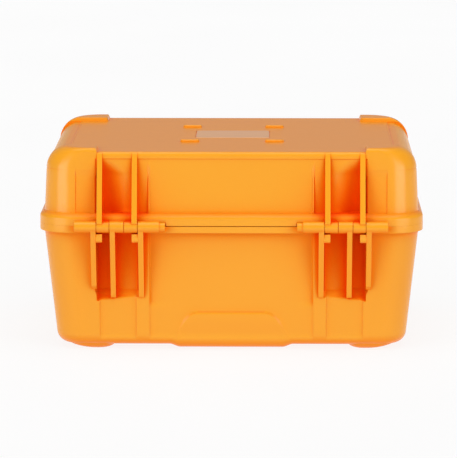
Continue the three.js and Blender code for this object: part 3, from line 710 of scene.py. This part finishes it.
def latch_lever(end):
    barrel = rod_x(FRONT, *latch_range(end, 12.3), LEVER_PIN_OUT, LEVER_PIN_Z, 5.3, round_edges=0.4)
    nose = [(189.2, 152), (189.2, 156.4), (190, 157.5), (192.2, 157.5), (192.8, 155.8), (198, 155.6),
            (203, 152), (205.5, 149), (200, 147), (195, 150.5), (190.5, 151)]
    tab = [(199.4, 149.2), (206.2, 149.2), (207.4, 140), (207.6, 118), (206.5, 112), (203.2, 111),
           (202.6, 118), (201.5, 130)]
    lever = union([barrel, plate_x(FRONT, *latch_range(end, 12.3), nose, 0.25),
                   plate_x(FRONT, *latch_range(end, 17.4), tab, 0.9)])
    grooves = [rod_x(FRONT, *latch_range(end, 12), 208.2, z, 1.2, round_edges=0.5, sides=24)
               for z in (117.5, 121.5, 125.5, 129.5)]
    bore = rod_x(FRONT, *latch_range(end, 13), LEVER_PIN_OUT, LEVER_PIN_Z, LATCH_BORE)
    return cut(lever, *grooves, bore)


def handle_bail():
    arm = [(196, 152), (198, 154), (203, 154), (205.6, 151), (206.8, 140), (206.8, 97), (204, 92.5),
           (195, 92.5), (192.5, 96), (193, 110), (195.4, 130), (195.4, 146)]
    arms = [plate_x(FRONT, *r, arm, 1.1) for r in mirrored([(HANDLE_X - 4.6, HANDLE_X + 4.6)])]
    bar = [(193, 96), (195.5, 93.5), (203, 93.5), (205.5, 96), (205.5, 104), (203, 106.5),
           (195.5, 106.5), (193, 104)]
    bail = union([*arms, plate_x(FRONT, -HANDLE_X, HANDLE_X, bar)])
    bores = [rod_x(FRONT, end * 66, end * 78, HANDLE_OUT, HANDLE_Z, HANDLE_BORE) for end in ENDS]
    return cut(bail, *bores)


def handle_grip():
    outside = [(190.5, 95.5), (191.8, 92.4), (194.2, 90.7), (204, 90.7), (206.6, 92.4), (208, 95.5),
               (208, 104.5), (206.6, 107.6), (204, 109.3), (194.2, 109.3), (191.8, 107.6), (190.5, 104.5)]
    sleeve = plate_x(FRONT, -56, 56, outside, 0.9)
    core = [(192.7, 95.8), (195.3, 93.2), (203.2, 93.2), (205.8, 95.8), (205.8, 104.2), (203.2, 106.8),
            (195.3, 106.8), (192.7, 104.2)]
    finger_grooves = [rod_y(FRONT, x, 72.4, 185, 215, 20) for x in (-42, -21, 0, 21, 42)]
    return cut(sleeve, *finger_grooves, plate_x(FRONT, -60, 60, core))


def valve_rod(out0, out1, radius, **settings):
    return rod_y(FRONT, 0, VALVE_Z, out0, out1, radius, **settings)


def valve_knob():
    knob = valve_rod(192.3, 199.5, 10, round_edges=0.9)
    notches = [rod_y(FRONT, 11 * math.cos(turn), VALVE_Z + 11 * math.sin(turn), 190, 202, 2.6)
               for turn in (k * math.pi / 4 for k in range(8))]
    return cut(knob, *notches, valve_rod(198.9, 202, 5.5, round_edges=0.3))


def valve_body():
    return union([valve_rod(171, 190, 8), valve_rod(189.1, 192, 12, round_edges=0.7)])


def valve_gasket():
    return cut(valve_rod(187.2, 188.8, 11.5, round_edges=0.5), valve_rod(186, 190, VALVE_HOLE))


def valve_nut():
    return cut(soften(valve_rod(172.6, 178.6, 12.5, sides=6), 0.5), valve_rod(170, 180, VALVE_HOLE))


def name_plate():
    sections = ((LID_TOP - PLATE_SINK + 0.3, 0), (LID_TOP - 0.2, 0), (LID_TOP, 0.1),
                (LID_TOP + 0.15, 0.3), (LID_TOP + 0.2, 0.6))
    return loft([(z, *(r - inset for r in PLATE)) for z, inset in sections])


def lid_seal():
    return ring_solid([(2.5, 172.2), (2.8, 171.8), (3.2, 171.7), (7.4, 171.7), (7.8, 171.8), (8.1, 172.2),
                       (8.1, 174.4), (7.8, 174.7), (2.8, 174.7), (2.5, 174.4)])


def padlock_sleeve(end, z0, z1):
    x, y = end * PADLOCK_X, -PADLOCK_OUT
    return cut(rod(2, z0, z1, x, y, 5.2, round_edges=0.4), rod(2, z0 - 1, z1 + 1, x, y, 3.8))


def pin(side, x0, x1, out, z, radius):
    return rod_x(side, x0, x1, out, z, radius, round_edges=0.4, sides=32)


def made_for_end(end):
    """{node stem: (object, body stem, slot)} for the pieces that come in a left and a right."""
    hinge = sorted((end * 93.5, end * 198.5))
    handle = end * HANDLE_X - 11.8, end * HANDLE_X + 11.8
    hinge_pin = pin(BACK, *hinge, HINGE_OUT, HINGE_Z, 2.2)
    link, lever = latch_link(end), latch_lever(end)
    lid_pin = pin(FRONT, *latch_range(end, 26), LATCH_PIN_OUT, LATCH_PIN_Z, 2)
    lever_pin = pin(FRONT, *latch_range(end, 17.8), LEVER_PIN_OUT, LEVER_PIN_Z, 2)
    handle_pin = pin(FRONT, *handle, HANDLE_OUT, HANDLE_Z, 2.5)
    base_sleeve = padlock_sleeve(end, RIM_UNDER, RIM_TOP - 0.1)
    lid_sleeve = padlock_sleeve(end, LID_FOOT + 0.1, LID_RIM_TOP)
    return {
        "hinge_pin": (hinge_pin, "base", "steel"),
        "latch_link": (link, "link", "black_plastic"),
        "latch_lever": (lever, "lever", "black_plastic"),
        "latch_lid_pin": (lid_pin, "lid", "steel"),
        "latch_lever_pin": (lever_pin, "link", "steel"),
        "handle_pin": (handle_pin, "base", "steel"),
        "padlock_sleeve_base": (base_sleeve, "base", "steel"),
        "padlock_sleeve_lid": (lid_sleeve, "lid", "steel"),
    }


# ---------- materials ----------
class Nodes:
    """A short way to write a node tree around one Principled shader."""

    def __init__(self, name):
        self.material = bpy.data.materials.new(name)
        self.material.use_nodes = True
        self.tree = self.material.node_tree
        self.tree.nodes.clear()
        output = self.add("ShaderNodeOutputMaterial")
        self.shader = self.add("ShaderNodeBsdfPrincipled")
        self.link(self.shader.outputs["BSDF"], output.inputs["Surface"])
        self.coordinates = self.add("ShaderNodeTexCoord").outputs
        self.place = self.coordinates["Object"]

    def add(self, kind, **settings):
        node = self.tree.nodes.new(kind)
        for key, value in settings.items():
            setattr(node, key, value)
        return node

    def link(self, source, target):
        self.tree.links.new(source, target)

    def set(self, **values):
        for key, value in values.items():
            self.shader.inputs[key.replace("_", " ")].default_value = value

    def noise(self, scale, detail, roughness, stretch=None):
        source = self.place
        if stretch:
            mapping = self.add("ShaderNodeMapping")
            mapping.inputs["Scale"].default_value = stretch
            self.link(source, mapping.inputs["Vector"])
            source = mapping.outputs["Vector"]
        node = self.add("ShaderNodeTexNoise")
        node.inputs["Scale"].default_value = scale
        node.inputs["Detail"].default_value = detail
        node.inputs["Roughness"].default_value = roughness
        self.link(source, node.inputs["Vector"])
        return node.outputs["Fac"]

    def ramp(self, fac, first, last):
        """From one colour to another; each stop is (position, colour)."""
        node = self.add("ShaderNodeValToRGB")
        for element, (at, colour) in zip(node.color_ramp.elements, (first, last)):
            element.position = at
            element.color = (*colour, 1)
        self.link(fac, node.inputs["Fac"])
        return node.outputs["Color"]

    def span(self, fac, lo, hi, start=0.3, end=0.7):
        """`lo` where fac is start or less, `hi` where it is end or more."""
        node = self.add("ShaderNodeMapRange")
        for key, value in (("From Min", start), ("From Max", end), ("To Min", lo), ("To Max", hi)):
            node.inputs[key].default_value = value
        self.link(fac, node.inputs["Value"])
        return node.outputs["Result"]

    def part(self, coordinate, axis):
        node = self.add("ShaderNodeSeparateXYZ")
        self.link(self.coordinates[coordinate], node.inputs["Vector"])
        return node.outputs[axis]

    def math(self, operation, a, b):
        node = self.add("ShaderNodeMath", operation=operation)
        for socket, value in zip(node.inputs, (a, b)):
            if isinstance(value, (int, float)):
                socket.default_value = value
            else:
                self.link(value, socket)
        return node.outputs[0]

    def mix(self, fac, a, b):
        node = self.add("ShaderNodeMix", data_type="RGBA")
        for socket, value in ((node.inputs["Factor"], fac), (node.inputs["A"], a), (node.inputs["B"], b)):
            if isinstance(value, (int, float)):
                socket.default_value = value
            elif isinstance(value, tuple):
                socket.default_value = (*value, 1)
            else:
                self.link(value, socket)
        return node.outputs["Result"]

    def bump(self, *layers):
        """Chained bumps: (height, distance in metres, strength) each."""
        normal = None
        for height, distance, strength in layers:
            node = self.add("ShaderNodeBump")
            node.inputs["Distance"].default_value = distance
            node.inputs["Strength"].default_value = strength
            self.link(height, node.inputs["Height"])
            if normal is not None:
                self.link(normal, node.inputs["Normal"])
            normal = node.outputs["Normal"]
        self.link(normal, self.shader.inputs["Normal"])


def painted_recess_shade(n):
    """How much painted shade a place gets: 0 in the open, up to 1 far inside a recess, and some on faces
    that look down; places in metres.
    """
    open_sky = n.add("ShaderNodeAmbientOcclusion", samples=8, only_local=True)
    open_sky.inputs["Distance"].default_value = 0.07
    depth = n.math("POWER", n.span(open_sky.outputs["AO"], 1.0, 0.0, 0.45, 0.97), 0.8)
    # the painted shade is weaker on the lid top and on what stands above it
    depth = n.math("MULTIPLY", depth, n.span(n.part("Object", "Z"), 1.0, 0.3, 0.2625, 0.2632))
    # the painted shade is at most 0.4 outside the pockets
    across = n.math("ABSOLUTE", n.part("Object", "X"), 0.0)
    inner_end = n.span(across, 0.4, 1.0, 0.104, 0.109)
    outer_end = n.span(across, 1.0, 0.4, 0.1735, 0.177)
    limit = n.math("MAXIMUM", n.math("MULTIPLY", inner_end, outer_end), 0.4)
    depth = n.math("MINIMUM", depth, limit)
    # faces that look down get painted shade as well
    underside_shade_mask = n.span(n.part("Normal", "Z"), 0.45, 0.0, -0.8, 0.0)
    return n.math("MAXIMUM", depth, underside_shade_mask)


def moulded_plastic(name, colour, flow_colour, rough, grain, specular=0.4, painted_shade_colour=None, painted_top_shade=None):
    """Spark-eroded grain, faint flow marks and rubbed places. The optional recess colour is painted shade
    in recesses and on faces that look down, where reflections are also tinted orange; the optional top
    colour is painted shade on faces that look straight up."""
    n = Nodes(name)
    flow = n.noise(9, 1, 0.4)
    grains = n.noise(1150, 3, 0.6)
    scuffs = n.noise(60, 6, 0.65)
    tone = n.ramp(flow, (0.3, flow_colour), (0.7, colour))
    tone = n.mix(n.span(grains, 0.0, 0.08), tone, flow_colour)
    if painted_shade_colour:
        # painted shade: the shade colour goes into recesses and onto faces that look down
        depth = painted_recess_shade(n)
        # painted shade on faces that look straight up: a darker, redder top colour
        top_shade_mask = n.span(n.part("Normal", "Z"), 0.0, 1.0, 0.9, 0.98)
        tone = n.mix(depth, n.mix(top_shade_mask, tone, painted_top_shade), painted_shade_colour)
        # painted shade on reflections: they turn orange where shade is painted
        tint = n.mix(n.span(depth, 0.0, 1.0, 0.1, 0.45), (1.0, 1.0, 1.0), (1.0, 0.3, 0.0))
        n.link(tint, n.shader.inputs["Specular Tint"])
    n.link(tone, n.shader.inputs["Base Color"])
    # the denoiser draws contour lines where the roughness crosses 0.274, so it only goes down from `rough`
    flow_rough = n.span(flow, rough - 0.015, rough, 0.0, 1.0)
    rubbed = n.span(scuffs, 0.0, 0.02, 0.5, 0.8)
    n.link(n.math("SUBTRACT", flow_rough, rubbed), n.shader.inputs["Roughness"])
    n.set(Specular_IOR_Level=specular)
    n.bump((flow, 0.0012, 0.03), (grains, 0.0001, grain))
    return n.material


def rubber(name):
    n = Nodes(name)
    grain = n.noise(1600, 2, 0.5)
    dust = n.noise(40, 6, 0.65)
    tone = n.ramp(dust, (0.35, (0.012, 0.012, 0.0125)), (0.75, (0.03, 0.029, 0.028)))
    n.link(tone, n.shader.inputs["Base Color"])
    n.link(n.span(dust, 0.72, 0.88), n.shader.inputs["Roughness"])
    n.set(Specular_IOR_Level=0.35)
    n.bump((grain, 0.0002, 0.5))
    return n.material


def steel(name):
    n = Nodes(name)
    lines = n.noise(900, 3, 0.5, stretch=(0.04, 1, 1))
    spots = n.noise(120, 4, 0.6)
    tone = n.ramp(spots, (0.3, (0.5, 0.51, 0.53)), (0.7, (0.66, 0.67, 0.69)))
    n.link(tone, n.shader.inputs["Base Color"])
    n.link(n.span(lines, 0.24, 0.4), n.shader.inputs["Roughness"])
    n.set(Metallic=1.0)
    n.bump((lines, 0.00004, 0.5))
    return n.material


def make_materials():
    return {
        "orange_plastic": moulded_plastic(
            "orange_plastic", colour=(0.94, 0.380, 0.012), flow_colour=(0.93, 0.366, 0.011),
            # the last two colours are painted shade: for recesses and faces that look down, and for faces
            # that look up
            rough=0.27, grain=0.18, painted_shade_colour=(0.93, 0.085, 0.0), painted_top_shade=(0.94, 0.318, 0.011)),
        "plate_plastic": moulded_plastic(
            "plate_plastic", colour=(0.98, 0.44, 0.13), flow_colour=(0.97, 0.425, 0.12),
            rough=0.15, grain=0.05, specular=0.68),
        "black_plastic": moulded_plastic(
            "black_plastic", colour=(0.013, 0.0135, 0.0145), flow_colour=(0.010, 0.010, 0.011),
            rough=0.40, grain=0.5),
        "black_rubber": rubber("black_rubber"),
        "steel": steel("steel"),
    }


# ---------- putting it together ----------
MATERIALS = make_materials()


def place(obj, node, body, slot):
    obj.name = obj.data.name = node + "_visual"
    shade(obj)
    obj.data.materials.clear()
    obj.data.materials.append(MATERIALS[slot])
    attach(obj, body)
    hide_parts(node)


place(base_moulding(), "base_shell", "base", "orange_plastic")
place(lid_moulding(), "lid_shell", "lid", "orange_plastic")
place(name_plate(), "name_plate", "lid", "plate_plastic")
place(lid_seal(), "lid_seal", "lid", "black_rubber")
place(handle_bail(), "handle_bail", "handle", "black_plastic")
place(handle_grip(), "handle_grip", "handle", "black_rubber")
place(valve_body(), "valve_body", "base", "black_plastic")
place(valve_gasket(), "valve_gasket", "base", "black_rubber")
place(valve_knob(), "valve_knob", "knob", "black_plastic")
place(valve_nut(), "valve_nut", "base", "black_plastic")
for hand, end in HANDS:
    for stem, (obj, body, slot) in made_for_end(end).items():
        place(obj, f"{stem}_{hand}", body if body in ("base", "lid") else f"{body}_{hand}", slot)


# ---------- stage ----------
def floor():
    n = Nodes("floor")
    cloud = n.noise(1.5, 2, 0.5)
    tone = n.ramp(cloud, (0.3, (0.105, 0.105, 0.105)), (0.7, (0.115, 0.115, 0.115)))
    n.link(tone, n.shader.inputs["Base Color"])
    n.set(Roughness=0.9, Specular_IOR_Level=0.1, Emission_Color=(1, 1, 1, 1), Emission_Strength=0.865)
    half = 30000
    corners = [(-half, -half, 0), (half, -half, 0), (half, half, 0), (-half, half, 0)]
    plane = new_object("studio_floor", corners, [(0, 1, 2, 3)])
    plane.data.materials.append(n.material)


def aimed(name, data, azimuth, elevation, distance, height=0.0):
    """A light `distance` metres away that shines on the case; azimuth is measured from +Y towards +X."""
    light = bpy.data.objects.new(name, data)
    a, e = math.radians(azimuth), math.radians(elevation)
    towards = Vector((math.sin(a) * math.cos(e), math.cos(a) * math.cos(e), math.sin(e)))
    light.rotation_euler = towards.to_track_quat("Z", "Y").to_euler()
    light.location = towards * distance + Vector((0, 0, height))
    bpy.context.scene.collection.objects.link(light)
    return light


def fill(name, azimuth, elevation, spread, power):
    """Even soft light from far away; it isn't seen in reflections."""
    data = bpy.data.lights.new(name, "SUN")
    data.angle, data.energy = math.radians(spread), power
    aimed(name, data, azimuth, elevation, 3).visible_glossy = False


def softbox(name, azimuth, elevation, distance, height, size, brightness):
    """A panel that is seen in reflections; the fill lights carry its light."""
    data = bpy.data.lights.new(name, "AREA")
    data.shape = "RECTANGLE"
    data.size, data.size_y = size
    data.energy = brightness * math.pi * size[0] * size[1]
    aimed(name, data, azimuth, elevation, distance, height).visible_diffuse = False


def lights():
    for hand, end in HANDS:
        fill(hand + "_fill", azimuth=end * 47, elevation=24, spread=32, power=0.805)
        softbox(hand + "_softbox", azimuth=end * 46, elevation=0, distance=1.6, height=0.24,
                size=(1.0, 0.48), brightness=3.6)
    fill("top_fill", azimuth=0, elevation=80, spread=60, power=1.42)
    softbox("top_softbox", azimuth=0, elevation=84, distance=2.2, height=0,
            size=(2.0, 1.6), brightness=1.3)
    # the surroundings are brightest at the horizon
    world = bpy.data.worlds.new("studio")
    world.use_nodes = True
    tree = world.node_tree
    height = tree.nodes.new("ShaderNodeSeparateXYZ")
    tree.links.new(tree.nodes.new("ShaderNodeTexCoord").outputs["Generated"], height.inputs["Vector"])
    bright = tree.nodes.new("ShaderNodeMapRange")
    for key, value in (("From Min", 0.1), ("From Max", 0.45), ("To Min", 0.38), ("To Max", 0.25)):
        bright.inputs[key].default_value = value
    tree.links.new(height.outputs["Z"], bright.inputs["Value"])
    background = tree.nodes["Background"]
    background.inputs["Color"].default_value = (1, 1, 1, 1)
    tree.links.new(bright.outputs["Result"], background.inputs["Strength"])
    bpy.context.scene.world = world


def camera():
    """Looks at the back of the case from a little above, through a long lens."""
    data = bpy.data.cameras.new("camera")
    data.lens, data.sensor_width, data.sensor_fit = 270.8, 36.0, "AUTO"
    data.clip_end = 100
    eye = bpy.data.objects.new("camera", data)
    pitch, yaw = math.radians(8.80), math.radians(0.75)
    eye.location = (-0.0544, 4.603, 0.8465)
    look = Vector((math.sin(yaw) * math.cos(pitch), -math.cos(yaw) * math.cos(pitch), -math.sin(pitch)))
    eye.rotation_euler = look.to_track_quat("-Z", "Y").to_euler()
    bpy.context.scene.collection.objects.link(eye)
    bpy.context.scene.camera = eye


floor()
lights()
camera()
bpy.context.scene.view_settings.view_transform = "Standard"
